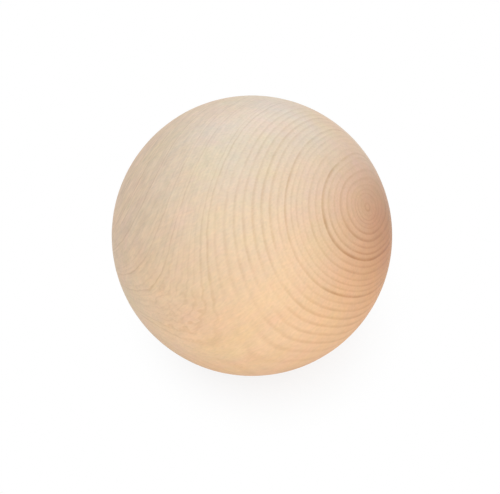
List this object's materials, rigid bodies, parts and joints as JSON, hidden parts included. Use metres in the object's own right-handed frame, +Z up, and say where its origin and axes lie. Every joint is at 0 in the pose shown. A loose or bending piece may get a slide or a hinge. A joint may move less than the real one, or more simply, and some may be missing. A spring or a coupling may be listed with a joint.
{
  "type": "wooden ball",
  "caption": "Solid round ball turned from one piece of pale bare softwood, with growth rings and grain all round.",
  "frame": {"origin": "centre of the ball", "axes": "+Z up, from the underside through the centre to the top; the ball is round about every axis through its centre, so +X and +Y are free"},
  "size_m": [0.06, 0.06, 0.06],
  "materials": {
    "bare_wood": "sanded smooth and left bare"
  },
  "bodies": {
    "root": {"ball": "bare_wood"}
  },
  "joints": []
}
